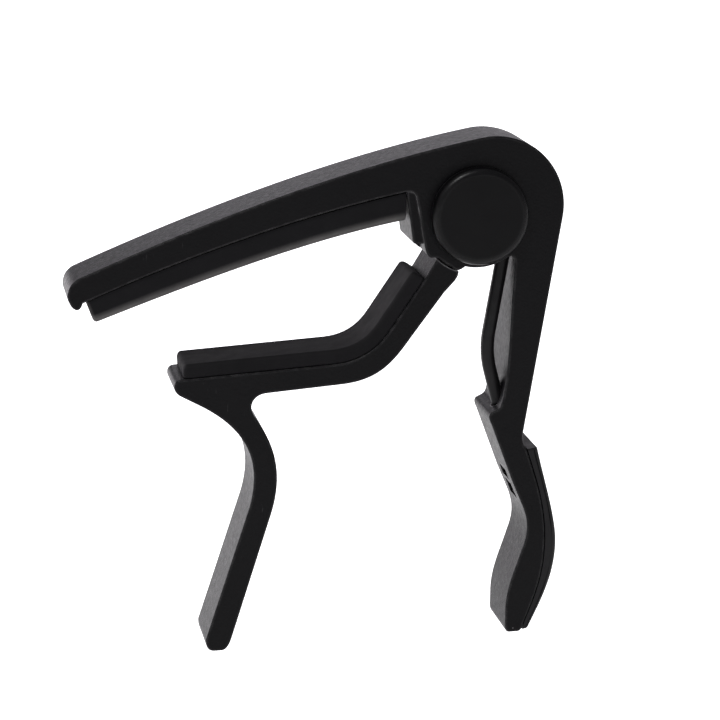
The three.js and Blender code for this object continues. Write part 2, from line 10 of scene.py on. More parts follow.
import bmesh
import bpy
import numpy as np
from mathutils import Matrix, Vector

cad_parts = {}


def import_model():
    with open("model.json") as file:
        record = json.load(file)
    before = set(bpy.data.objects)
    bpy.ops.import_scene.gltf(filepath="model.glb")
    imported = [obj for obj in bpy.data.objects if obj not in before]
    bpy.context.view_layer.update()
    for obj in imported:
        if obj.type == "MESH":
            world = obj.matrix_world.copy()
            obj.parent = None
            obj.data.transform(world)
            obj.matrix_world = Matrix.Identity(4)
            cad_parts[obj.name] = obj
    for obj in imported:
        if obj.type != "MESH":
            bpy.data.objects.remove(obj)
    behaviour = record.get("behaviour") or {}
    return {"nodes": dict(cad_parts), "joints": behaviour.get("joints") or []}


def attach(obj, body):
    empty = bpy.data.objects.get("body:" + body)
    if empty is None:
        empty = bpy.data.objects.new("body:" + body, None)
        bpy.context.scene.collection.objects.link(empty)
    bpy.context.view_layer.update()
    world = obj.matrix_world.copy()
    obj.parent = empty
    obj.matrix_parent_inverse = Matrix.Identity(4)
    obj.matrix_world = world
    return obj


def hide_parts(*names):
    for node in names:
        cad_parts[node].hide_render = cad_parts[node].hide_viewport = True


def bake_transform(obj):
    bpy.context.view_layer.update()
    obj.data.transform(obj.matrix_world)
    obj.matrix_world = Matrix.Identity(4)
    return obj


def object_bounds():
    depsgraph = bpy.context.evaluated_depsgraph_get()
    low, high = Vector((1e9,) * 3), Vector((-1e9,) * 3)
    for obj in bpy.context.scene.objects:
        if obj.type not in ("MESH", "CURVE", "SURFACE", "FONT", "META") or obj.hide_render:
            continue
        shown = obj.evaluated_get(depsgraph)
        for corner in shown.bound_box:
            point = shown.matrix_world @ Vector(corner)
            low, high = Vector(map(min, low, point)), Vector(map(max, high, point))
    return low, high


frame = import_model()
cad_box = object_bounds()

MM = 0.001
PIVOT = Vector(frame["joints"][0]["pos_m"])

# ---- driving dimensions, in millimetres ---------------------------------------------

BODY_DEPTH = 12.5
JAW_DEPTH = 12.0
STRING_PAD_DEPTH = 11.6
CRADLE_PAD_DEPTH = 11.5
GRIP_DEPTH = 12.1
BLOCK_DEPTH = 12.0  # the block between the head and the string pad
FOOT_Z = -80.0

EDGE = 0.35  # rounding on the edges of the castings
EDGE_STEPS = 5
CORNER_STEPS = 6  # of a rubber strip's rounded corners and ends
CUT_EDGE = 0.12  # small rounding where one cut meets another surface
CURVE_STEP = 0.4  # between the points of a curved outline
SAME_POINT = 0.02  # points of an outline closer than this are one
WELD = 1e-4  # vertices closer than this are merged
GAP = 0.15  # clearance between pieces that fit together

CHEEK_R = 9.7
CHEEK_STEP_R = 10.55
SLOT_HALF = 3.85
SLOT_R = 9.5
WALL_Z = -5.6
HUB_R = 9.2
HUB_HALF = 3.55
NECK_R = 10.9
RECESS_R = 5.8  # seat of the washer in each cheek's face
RECESS_DEPTH = 0.6

LEG_DRAFT = 0.3  # how far the leg's inner face leans over its depth
LEG_TOP, LEG_FOOT = -11, -36

WIRE_R = 1.25
COIL_R = 6.85
COIL_PITCH = 2.55
LONG_LEG_Y = -2.5
SHORT_LEG = 6.2
SHORT_LEG_ANGLE = math.radians(200)
SPRING_TURN = math.radians(569.9)
KNEE_START = 21.4  # along the long leg, from the coil
KNEE = 25.3
KNEE_END = 0.36  # share of the way from the knee to the foot
SPRING_FOOT = Vector((4.98, -36.2))
SEATED_LEG = 7.7  # how much of the long leg lies in its seat at the ledge
SHORT_LEG_Y = LONG_LEG_Y + COIL_PITCH * SPRING_TURN / math.tau

PIN_R = 2.5
BUSH_R = 3.5
CAP_R = 8.85
CAP_HEIGHT = 2.45
CAP_EDGE = 1.2
CAP_FACE = 1.05  # thickness of the cap's face over the hollow
CAP_HOLLOW_R = 5.7
CAP_FOOT_CHAMFER = 0.2
POST_RING_R = 7.1
POST_R = 0.75
POST_COUNT = 3
POST_LENGTH = 1.4
POST_HOLE_DEPTH = 1.5

LEVER_SWEEP = 13.5  # how far the lever's foot swings below its height at rest

TAB_WINDOWS = [(-51.3, -49.2), (-55.0, -52.0)]
TAB_HALF = 2.6
TAB_GAP = 0.2

SEAT_LEFT = Vector((-54.2, -28.1))
SEAT_BEND_START = Vector((-26.5, -26.55))
SEAT_BEND = Vector((-20.0, -26.2))
SEAT_BEND_END = Vector((-16.3, -21.0))
SEAT_RIGHT = Vector((-9.5, -11.1))
NECK_END = Vector((-6.6, -6.4))
SEAT_FLAT = SEAT_BEND_START - SEAT_LEFT
NECK_TOP = NECK_END - SEAT_RIGHT
CRADLE_PAD_THICK = 2.6

# Across the arm or the jaw: the channels, and the pads' ribs in them.
CHANNEL_HALF = 3.9
STRING_RIB_HALF = 3.6
GROOVE_HALF = 2.2
CRADLE_RIB_HALF = 1.9
GROOVE_DEPTH = 1.2
CRADLE_RIB_DEPTH = 0.9

# Rounding of the rubber strips: along their long edges, and at their first and last ends.
STRING_PAD_EDGE, STRING_PAD_ENDS = 1.7, (0.2, 0.7)
CRADLE_PAD_EDGE, CRADLE_PAD_ENDS = 0.7, (0.9, 0.9)
GRIP_EDGE, GRIP_ENDS = 0.9, (0.35, 0.35)


# ---- outlines -------------------------------------------------------------------------


class Line:
    """A line of straight and curved stretches in the X-Z plane, as closely spaced points."""

    def __init__(self, x, z):
        self.points = [Vector((x, z))]

    def to(self, x, z):
        self.points.append(Vector((x, z)))
        return self

    def _curve(self, at, length):
        count = max(3, round(length / CURVE_STEP))
        self.points += [at(i / count) for i in range(1, count + 1)]
        return self

    def bend(self, cx, cz, x, z):
        """A quadratic curve with one control point."""
        a, b, c = self.points[-1], Vector((cx, cz)), Vector((x, z))
        length = ((b - a).length + (c - b).length + (c - a).length) / 2
        return self._curve(lambda t: a * (1 - t) ** 2 + b * (2 * t * (1 - t)) + c * t * t, length)

    def sweep(self, x1, z1, x2, z2, x, z):
        """A cubic curve with two control points."""
        a, b, c, d = self.points[-1], Vector((x1, z1)), Vector((x2, z2)), Vector((x, z))

        def at(t):
            s = 1 - t
            return a * s**3 + b * (3 * s * s * t) + c * (3 * s * t * t) + d * t**3

        return self._curve(at, ((d - a).length + (b - a).length + (c - b).length + (d - c).length) / 2)

    def arc(self, cx, cz, radius, start, end):
        """An arc about a centre, from one angle in degrees to another."""
        first, turn = math.radians(start), math.radians(end - start)

        def at(t):
            angle = first + turn * t
            return Vector((cx + radius * math.cos(angle), cz + radius * math.sin(angle)))

        if (self.points[-1] - at(0)).length > SAME_POINT:
            self.points.append(at(0))
        return self._curve(at, abs(turn) * radius)


def raised(point, along, height):
    """The point moved off a line by height, to the left of its direction."""
    return point + Vector((-along.y, along.x)).normalized() * height


def frame_outline():
    line = Line(-71.3, -13.35)
    line.bend(-71.7, -14.7, -72.5, -14.55)
    line.bend(-73.5, -14.2, -74.0, -12.4)
    line.bend(-74.1, -10.1, -72.1, -8.95)
    line.sweep(-48.4, 0.97, -22.6, 9.9, 1.32, 14.1)
    line.arc(2.9, 1.2, 13, 97, -9.7)
    line.to(8.95, -41.3)
    line.bend(8.75, -43.3, 9.65, -44.3)
    grip_seat(line)
    line.bend(9.35, FOOT_Z, 8.4, FOOT_Z)
    line.to(6.8, FOOT_Z)
    line.bend(6.05, FOOT_Z, 6.0, -78.6)
    line.to(6.05, -75.5)
    line.sweep(6.1, -71.3, 7.7, -68, 9.1, -63.6)
    line.sweep(10.3, -60.4, 10.3, -58.4, 9, -55.2)
    line.to(7, -50.4)
    line.to(2.85, -39.1)
    line.bend(1.9, -37.3, 3.2, -36.9)
    line.to(4.0, -36.5)
    line.sweep(4.9, -36, 5.15, -33.6, 5.42, -31.9)
    line.bend(5.85, -29.2, 6.08, -25)
    line.to(6.5, -15.9)
    line.to(6.9, -9.4)
    corner = math.radians(-58)
    line.bend(6.95, -7.1, CHEEK_R * math.cos(corner), CHEEK_R * math.sin(corner))
    line.arc(0, 0, CHEEK_R, -58, -104)
    line.bend(-3.8, -10.7, -4.9, -9.35)
    line.arc(0, 0, CHEEK_STEP_R, -118, -133)
    line.bend(-7.9, -7.5, -8.6, -7.6)
    line.bend(-9.5, -7.3, -9.85, -5.5)
    line.to(-10.74, 0.04)
    line.to(-11.35, 3.4)
    line.bend(-11.6, 4.9, -13.4, 4.55)
    line.sweep(-32.1, 1.1, -53, -5.8, -70.6, -13.1)
    return line.points


def grip_seat(line, offset=0.0):
    """Outer face of the trigger handle under the grip."""
    line.sweep(10.9 + offset, -48.6, 13.4 + offset, -54.4, 13.4 + offset, -62)
    line.sweep(13.4 + offset, -69, 11.7 + offset, -73, 9.6 + offset, -78.3)
    return line


def jaw_outline():
    line = Line(*SEAT_LEFT)
    line.to(*SEAT_BEND_START)
    line.bend(*SEAT_BEND, *SEAT_BEND_END)
    line.to(*SEAT_RIGHT)
    line.to(*NECK_END)
    line.to(-3.1, -8.7)
    line.to(-3.55, -10.9)
    line.bend(-3.8, -11.7, -4.6, -12.5)
    line.to(-6.1, -14.1)
    line.to(-12.2, -22.2)
    line.sweep(-15.4, -26.6, -18, -29.9, -25, -30.4)
    line.to(-38.9, -31.4)
    line.sweep(-41.2, -31.65, -42.2, -33.7, -41, -35.5)
    line.sweep(-37.6, -40.6, -35.4, -46.2, -38.3, -54.8)
    line.to(-45.6, -77.4)
    line.bend(-46.4, FOOT_Z, -47.6, FOOT_Z)
    line.to(-48.9, FOOT_Z)
    line.bend(-50.6, FOOT_Z, -50.5, -77.6)
    line.to(-42.3, -53.2)
    line.sweep(-39.8, -45.2, -41.5, -38.6, -50.4, -33.4)
    line.to(-54.2, -31.3)
    line.sweep(-55.8, -30.5, -56, -28.2, *SEAT_LEFT)
    return line.points


# ---- mesh building ----------------------------------------------------------------------


def placed(x, y, z):
    """A point of the drawing, in metres in the row frame."""
    return PIVOT + Vector((x, y, z)) * MM


def new_piece(name, bm):
    """A Blender object from a bmesh whose points are in the drawing's millimetres."""
    for vertex in bm.verts:
        vertex.co = placed(*vertex.co)
    bmesh.ops.recalc_face_normals(bm, faces=bm.faces)
    mesh = bpy.data.meshes.new(name)
    bm.to_mesh(mesh)
    bm.free()
    piece = bpy.data.objects.new(name, mesh)
    bpy.context.scene.collection.objects.link(piece)
    return piece


def closed(points):
    """Counter-clockwise, without repeated points."""
    kept = []
    for point in points:
        if all((point - other).length > SAME_POINT for other in kept[-3:] + kept[:1]):
            kept.append(point)
    area = sum(a.x * b.y - b.x * a.y for a, b in zip(kept, kept[1:] + kept[:1]))
    return kept if area > 0 else kept[::-1]


def inset(points, distance):
    """The closed outline moved inwards by distance, corner for corner."""
    moved = []
    for before, here, after in zip(points[-1:] + points[:-1], points, points[1:] + points[:1]):
        a, b = (here - before).normalized(), (after - here).normalized()
        normal = (Vector((-a.y, a.x)) + Vector((-b.y, b.x))).normalized()
        share = max(normal.dot(Vector((-a.y, a.x))), 0.5)
        moved.append(here + normal * (distance / share))
    return moved


def bridge(bm, rings, caps=True):
    """Faces between rings of points, with flat ends where caps is true."""
    loops = [[bm.verts.new(point) for point in ring] for ring in rings]
    for lower, upper in zip(loops, loops[1:]):
        count = len(lower)
        for i in range(count):
            j = (i + 1) % count
            bm.faces.new((lower[i], lower[j], upper[j], upper[i]))
    if caps:
        bm.faces.new(loops[0][::-1])
        bm.faces.new(loops[-1])


def prism(name, points, low, high, edge=0.0):
    """An outline given depth along Y, with its front and back edges rounded."""
    outline = closed(points)
    rounds = [math.radians(90 * i / EDGE_STEPS) for i in range(EDGE_STEPS + 1)] if edge else [math.pi / 2]
    front = [(edge * (1 - math.sin(a)), low + edge * (1 - math.cos(a))) for a in rounds]
    back = [(shrink, low + high - y) for shrink, y in reversed(front)]
    rings = []
    for shrink, y in front + back:
        ring = inset(outline, shrink) if shrink > 1e-6 else outline
        rings.append([Vector((p.x, y, p.y)) for p in ring])
    bm = bmesh.new()
    bridge(bm, rings)
    bmesh.ops.remove_doubles(bm, verts=bm.verts, dist=WELD)
    return new_piece(name, bm)


def turned(name, profile, segments=96, x=0.0, z=0.0):
    """A [radius, y] profile revolved around an axis parallel to the pivot's."""
    bm = bmesh.new()
    rings = []
    for radius, y in profile:
        angles = [math.tau * i / segments for i in range(segments)]
        rings.append([Vector((x + radius * math.cos(a), y, z + radius * math.sin(a))) for a in angles])
    hollow = profile[0] == profile[-1]
    bridge(bm, rings, caps=not hollow)
    bmesh.ops.remove_doubles(bm, verts=bm.verts, dist=WELD)
    return new_piece(name, bm)


def rod(radius, low, high, x=0.0, z=0.0, segments=64):
    return turned("rod", [(radius, low), (radius, high)], segments, x, z)


def box(x_low, x_high, y_low, y_high, z_low, z_high):
    corners = [(x_low, z_low), (x_high, z_low), (x_high, z_high), (x_low, z_high)]
    return prism("box", [Vector(c) for c in corners], y_low, y_high)


def settle(piece):
    """Applies the piece's modifiers to its mesh."""
    graph = bpy.context.evaluated_depsgraph_get()
    mesh = bpy.data.meshes.new_from_object(piece.evaluated_get(graph))
    piece.modifiers.clear()
    old = piece.data
    piece.data = mesh
    bpy.data.meshes.remove(old)


def combine(piece, tool, operation):
    modifier = piece.modifiers.new(operation, "BOOLEAN")
    modifier.operation = operation
    modifier.solver = "EXACT"
    modifier.object = tool
    settle(piece)
    bpy.data.objects.remove(tool)
    return piece


def cut(piece, *tools):
    for tool in tools:
        combine(piece, tool, "DIFFERENCE")
    return piece


def join(piece, *tools):
    for tool in tools:
        combine(piece, tool, "UNION")
    return piece


def soften(piece):
    """Rounds the edges that the cuts left sharp."""
    bevel = piece.modifiers.new("soften", "BEVEL")
    bevel.limit_method = "ANGLE"
    bevel.angle_limit = math.radians(55)
    bevel.width = CUT_EDGE * MM
    bevel.segments = 2
    bevel.use_clamp_overlap = True
    settle(piece)


def smooth(piece):
    """Smooth shading over the rounded edges, with the flat faces kept flat."""
    mesh = piece.data
    mesh.shade_smooth()
    mesh.set_sharp_from_angle(angle=math.radians(38))
    weighted = piece.modifiers.new("normals", "WEIGHTED_NORMAL")
    weighted.mode = "FACE_AREA"
    weighted.weight = 80
    weighted.keep_sharp = True
    return piece


# ---- castings ------------------------------------------------------------------------------


def post_places():
    """Centres of the caps' snap posts."""
    for i in range(POST_COUNT):
        angle = math.radians(90 + i * 360 / POST_COUNT)
        yield POST_RING_R * math.cos(angle), POST_RING_R * math.sin(angle)


def head_block():
    """Block beside the string pad's end, set back from the faces of the body."""
    line = Line(-13.2, 6).to(-13.15, 4.6).to(-12.67, 0.65).to(-12, -4.4)
    line.bend(-11.9, -5, -11.3, -5).to(-8, -5).to(-8, 6)
    return prism("block", line.points, -BLOCK_DEPTH / 2, BLOCK_DEPTH / 2, EDGE)


def frame_slot():
    """Room between the cheeks for the hub and for the neck's travel."""
    way = [
        Vector((7.1, -6.3)),
        Vector((7.1, -9.2)),
        Vector((6.5, -10)),
        Vector((6.5, -14)),
        Vector((-14, -14)),
        Vector((-14, WALL_Z)),
        Vector((-9.4, WALL_Z)),
        Vector((-8.7, -6.6)),
        Vector((-8.6, -8)),
        raised(SEAT_RIGHT.lerp(NECK_END, 0.66), NECK_TOP, GAP),
        raised(NECK_END, NECK_TOP, GAP),
    ]
    hub_room = rod(SLOT_R, -SLOT_HALF, SLOT_HALF, segments=128)
    return join(hub_room, prism("way", way, -SLOT_HALF, SLOT_HALF))


def pad_channel():
    """Channel under the arm for the string pad's rib."""
    line = Line(-13.8, 6.2)
    line.sweep(-32.3, 2.6, -53.2, -4.2, -69.8, -11)
    line.to(-70.4, -14.5)
    line.sweep(-53.6, -8, -32, -1, -13.8, 2.5)
    return prism("channel", line.points, -CHANNEL_HALF, CHANNEL_HALF)


def draft_leg(piece):
    """Casting draft: the rear edge of the leg's inner face stands nearer to the lever."""
    for vertex in piece.data.vertices:
        x, y, z = (vertex.co - PIVOT) / MM
        if 0 < x < 7.3 and LEG_FOOT < z < LEG_TOP:
            ease = min((LEG_TOP - z) / 13, 1) * min((z - LEG_FOOT) / 3, 1)
            vertex.co.x -= LEG_DRAFT * ease * (y / BODY_DEPTH + 0.5) * MM


def round_hole(start, end, radius):
    """A rod between two points, to be cut away."""
    along = (end - start).normalized()
    side = Vector((along.z, 0, -along.x))
    angles = [math.tau * i / 48 for i in range(48)]
    across = [(side * math.cos(a) + Vector((0, 1, 0)) * math.sin(a)) * radius for a in angles]
    bm = bmesh.new()
    bridge(bm, [[point + offset for offset in across] for point in (start, end)])
    return new_piece("hole", bm)


def frame_casting():
    half = BODY_DEPTH / 2
    body = prism("frame_body", frame_outline(), -half, half, EDGE)
    draft_leg(body)
    join(body, head_block())
    cut(body, frame_slot(), pad_channel(), rod(PIN_R + GAP, -half - 1, half + 1))
    for side in (-1, 1):
        face = side * half
        cut(body, rod(RECESS_R, *sorted((face - side * RECESS_DEPTH, face + side))))
        for x, z in post_places():
            cut(body, rod(POST_R + GAP, *sorted((face - side * POST_HOLE_DEPTH, face + side)), x, z, 32))
    for low, high in TAB_WINDOWS:
        cut(body, box(2, 15, -TAB_HALF, TAB_HALF, low, high))
    line = spring_line()
    along = (line[-1] - line[-2]).normalized()
    cut(body, round_hole(line[-1] - along * SEATED_LEG, line[-1] + along * (2 * GAP), WIRE_R + GAP))
    soften(body)
    return smooth(body)


def coil_pocket():
    """Ring-shaped pocket in the hub for the spring's coil."""
    floor = SHORT_LEG_Y + WIRE_R + GAP
    inner, outer = COIL_R - WIRE_R - 0.25, COIL_R + WIRE_R + 0.2
    return turned("pocket", [(inner, -6), (outer, -6), (outer, floor), (inner, floor), (inner, -6)])


def leg_notch():
    """Opening in the hub's side through which the long leg leaves the coil."""
    line = Line(0, 0).arc(0, 0, HUB_R + 3, -96, 6)
    wedge = prism("notch", line.points, -6, LONG_LEG_Y + WIRE_R + 0.5)
    return cut(wedge, rod(COIL_R - WIRE_R - 0.25, -7, 7))


def short_leg_hole():
    start, out = leg_start()
    return round_hole(start, start + out * (SHORT_LEG + 0.2), WIRE_R + 0.08)


def cradle_strip(name, first, last, depth, half_width):
    """A bar sunk into the jaw's straight seat, between two shares of its length."""
    left = SEAT_LEFT.lerp(SEAT_BEND_START, first)
    right = SEAT_LEFT.lerp(SEAT_BEND_START, last)
    corners = [raised(left, SEAT_FLAT, 1), raised(left, SEAT_FLAT, -depth)]
    corners += [raised(right, SEAT_FLAT, -depth), raised(right, SEAT_FLAT, 1)]
    return prism(name, corners, -half_width, half_width)


def jaw_casting():
    half = JAW_DEPTH / 2
    body = prism("jaw_body", jaw_outline(), -half, half, EDGE)
    cut(body, rod(NECK_R, -half - 1, -HUB_HALF, segments=128), rod(NECK_R, HUB_HALF, half + 1, segments=128))
    join(body, rod(HUB_R, -HUB_HALF, HUB_HALF, segments=128))
    cut(body, coil_pocket(), leg_notch(), rod(BUSH_R + 0.05, -half, half), short_leg_hole())
    cut(body, cradle_strip("groove", 0.12, 0.95, GROOVE_DEPTH, GROOVE_HALF))
    soften(body)
    return smooth(body)


# ---- rubber ----------------------------------------------------------------------------------


def run_lengths(line):
    """Distance of each point of a line from its start, along it."""
    lengths = [0.0]
    for a, b in zip(line, line[1:]):
        lengths.append(lengths[-1] + (b - a).length)
    return lengths


def strip_ring(foot, top, half_width, radius):
    """One cross-section of a rubber strip from foot to top, with its top corners rounded."""
    height = (top - foot).length
    up = (top - foot).normalized()
    radius = min(radius, height * 0.48, half_width * 0.48)
    section = [(-half_width, height * f) for f in (0, 0.3, 0.6)]
    for i in range(CORNER_STEPS + 1):
        a = math.radians(90 * i / CORNER_STEPS)
        section.append((-half_width + radius * (1 - math.cos(a)), height - radius * (1 - math.sin(a))))
    section += [(0, height)]
    mirrored = [(-y, h) for y, h in reversed(section[:-1])]
    points = section + mirrored
    return [Vector((foot.x + up.x * h, y, foot.y + up.y * h)) for y, h in points]


def strip(name, foots, tops, depth, radius, ends):
    """A rubber strip between two lines with the same number of points, with rounded ends."""
    first_end, last_end = ends
    half_width = depth / 2
    lengths = run_lengths(foots)
    total = lengths[-1]

    def at(line, distance):
        """The point of foots or tops that belongs to a distance along foots."""
        for i, (a, b) in enumerate(zip(lengths, lengths[1:])):
            if distance <= b or i == len(lengths) - 2:
                return line[i].lerp(line[i + 1], (distance - a) / max(b - a, 1e-9))

    steps = [1 - math.cos(math.radians(90 * i / CORNER_STEPS)) for i in range(CORNER_STEPS + 1)]
    stations = [first_end * step for step in steps]
    stations += [d for d in lengths if first_end + 0.1 < d < total - last_end - 0.1]
    stations += [total - last_end * step for step in reversed(steps)]
    rings = []
    for distance in stations:
        end_radius = first_end if distance < total / 2 else last_end
        near = min(distance, total - distance, end_radius)
        shrink = end_radius - math.sqrt(max(end_radius**2 - (end_radius - near) ** 2, 0))
        foot, top = at(foots, distance), at(tops, distance)
        top = top + (foot - top).normalized() * shrink
        rings.append(strip_ring(foot, top, half_width - shrink, radius))
    bm = bmesh.new()
    bridge(bm, rings)
    return new_piece(name, bm)


def matched(line, count):
    """The line as count + 1 points at equal distances."""
    lengths = run_lengths(line)
    places = np.linspace(0, lengths[-1], count + 1)
    xs = np.interp(places, lengths, [p.x for p in line])
    zs = np.interp(places, lengths, [p.y for p in line])
    return [Vector((float(x), float(z))) for x, z in zip(xs, zs)]


def string_pad():
    foot = Line(-13.25, 4.35).sweep(-32, 0.95, -53, -5.95, -70.75, -13.3).points
    top = Line(-13.15, -0.8).sweep(-31.4, -3.85, -51.8, -11.05, -69.3, -17.35).points
    lines = matched(foot, 90), matched(top, 90)
    pad = strip("string_pad_rubber", *lines, STRING_PAD_DEPTH, STRING_PAD_EDGE, STRING_PAD_ENDS)
    rib = Line(-14.4, 5.8).sweep(-32.5, 2.3, -53, -4.6, -69, -11.1)
    rib.to(-69.4, -14).sweep(-53.6, -8.2, -32, -1.6, -14.4, 2.4)
    join(pad, prism("rib", rib.points, -STRING_RIB_HALF, STRING_RIB_HALF))
    return smooth(pad)


def cradle_pad():
    foot = Line(*raised(SEAT_LEFT.lerp(SEAT_BEND_START, 0.02), SEAT_FLAT, GAP))
    foot.to(*raised(SEAT_BEND_START, SEAT_FLAT, GAP))
    slope = SEAT_RIGHT - SEAT_BEND_END
    middle = SEAT_RIGHT - SEAT_LEFT
    foot.bend(*raised(SEAT_BEND, middle, GAP), *raised(SEAT_BEND_END, slope, GAP))
    foot.to(*raised(SEAT_RIGHT.lerp(SEAT_BEND_END, 0.03), slope, GAP))
    foots = matched(foot.points, 110)
    thick = CRADLE_PAD_THICK - GAP
    tops = []
    for before, here, after in zip(foots[:1] + foots[:-1], foots, foots[1:] + foots[-1:]):
        tops.append(raised(here, after - before, thick))
    pad = strip("cradle_pad_rubber", foots, tops, CRADLE_PAD_DEPTH, CRADLE_PAD_EDGE, CRADLE_PAD_ENDS)
    join(pad, cradle_strip("rib", 0.14, 0.93, CRADLE_RIB_DEPTH, CRADLE_RIB_HALF))
    return smooth(pad)


def handle_grip():
    foot = grip_seat(Line(9.65 + GAP + 0.1, -44.4), GAP).to(9.45, -79.7).points
    top = Line(11.85, -44.15)
    top.sweep(13.5, -51.6, 15.65, -57.8, 15.75, -62.6)
    top.sweep(15.75, -68.6, 13.9, -72.9, 10.45, -79.55)
    lines = matched(foot, 80), matched(top.points, 80)
    grip = strip("handle_grip_rubber", *lines, GRIP_DEPTH, GRIP_EDGE, GRIP_ENDS)
    width = TAB_HALF - TAB_GAP
    first_middle = sum(TAB_WINDOWS[0]) / 2
    for low, high in TAB_WINDOWS:
        drop = first_middle - (low + high) / 2
        inner, outer = 8 + drop * 0.37, 12 + drop * 0.25
        join(grip, box(inner, outer, -width, width, low + TAB_GAP, high - TAB_GAP))
    return smooth(grip)


# ---- caps and spring ----------------------------------------------------------------------------


def hub_cap(name, side):
    """Round cover with a rounded rim, hollow over the pin's head, on three snap posts."""
    seat = BODY_DEPTH / 2 + 0.15
    top = seat + CAP_HEIGHT
    roof = top - CAP_FACE
    profile = [(0, roof), (CAP_HOLLOW_R, roof), (CAP_HOLLOW_R + 0.2, seat)]
    profile += [(CAP_R - CAP_FOOT_CHAMFER, seat), (CAP_R, seat + CAP_FOOT_CHAMFER)]
    for i in range(9):
        angle = math.radians(90 * i / 8)
        out, up = CAP_EDGE * (1 - math.cos(angle)), CAP_EDGE * (1 - math.sin(angle))
        profile.append((CAP_R - out, top - up))
    profile += [(r, top) for r in (7.2, 5, 2.5, 0)]
    cap = turned(name, [(r, side * y) for r, y in profile], 160)
    for x, z in post_places():
        join(cap, rod(POST_R, *sorted((side * (seat - POST_LENGTH), side * (seat + 0.5))), x, z, 32))
    return smooth(cap)


def leg_start():
    """Where the spring's short leg leaves the coil, and its direction."""
    turn = Vector((math.cos(SHORT_LEG_ANGLE), 0, math.sin(SHORT_LEG_ANGLE)))
    return Vector((COIL_R * turn.x, SHORT_LEG_Y, COIL_R * turn.z)), Vector((-turn.z, 0, turn.x))


def spring_line():
    """Centre line of the spring, from the end of its short leg to the end of its long leg."""
    start, out = leg_start()
    points = [start + out * (SHORT_LEG * (1 - i / 12)) for i in range(12)]
    count = 150  # points along the coil
    for i in range(count + 1):
        turn = SPRING_TURN * i / count
        angle = SHORT_LEG_ANGLE - turn
        y = SHORT_LEG_Y - COIL_PITCH * turn / math.tau
        points.append(Vector((COIL_R * math.cos(angle), y, COIL_R * math.sin(angle))))
    leave = SHORT_LEG_ANGLE - SPRING_TURN
    down = Vector((math.sin(leave), 0, -math.cos(leave)))
    exit_point = points[-1]
    knee_start = exit_point + down * KNEE_START
    knee = exit_point + down * KNEE
    foot = Vector((SPRING_FOOT.x, LONG_LEG_Y, SPRING_FOOT.y))
    knee_end = knee.lerp(foot, KNEE_END)
    points += [exit_point.lerp(knee_start, i / 24) for i in range(1, 24)]
    for i in range(17):
        u = i / 16
        points.append(knee_start * (1 - u) ** 2 + knee * (2 * u * (1 - u)) + knee_end * u * u)
    points += [knee_end.lerp(foot, i / 10) for i in range(1, 11)]
    return points


def torsion_spring():
    line = spring_line()
    rings = []
    bevel = 0.18  # at the wire's two ends
    count = 20  # points around the wire
    tangents = [(b - a).normalized() for a, b in zip(line[:1] + line[:-1], line[1:] + line[-1:])]
    stations = [(line[0], tangents[0], WIRE_R - bevel)]
    stations.append((line[0] + tangents[0] * bevel, tangents[0], WIRE_R))
    stations += [(p, t, WIRE_R) for p, t in zip(line[1:-1], tangents[1:-1])]
    stations.append((line[-1] - tangents[-1] * bevel, tangents[-1], WIRE_R))
    stations.append((line[-1], tangents[-1], WIRE_R - bevel))
    for point, along, radius in stations:
        across = along.cross(Vector((0, 1, 0))).normalized()
        other = across.cross(along).normalized()
        angles = [math.tau * i / count for i in range(count)]
        rings.append([point + (across * math.cos(a) + other * math.sin(a)) * radius for a in angles])
    bm = bmesh.new()
    bridge(bm, rings)
    spring = new_piece("torsion_spring_wire", bm)
    spring.data.shade_smooth()
    spring.data.set_sharp_from_angle(angle=math.radians(50))
    return spring


# ---- materials -------------------------------------------------------------------------------------


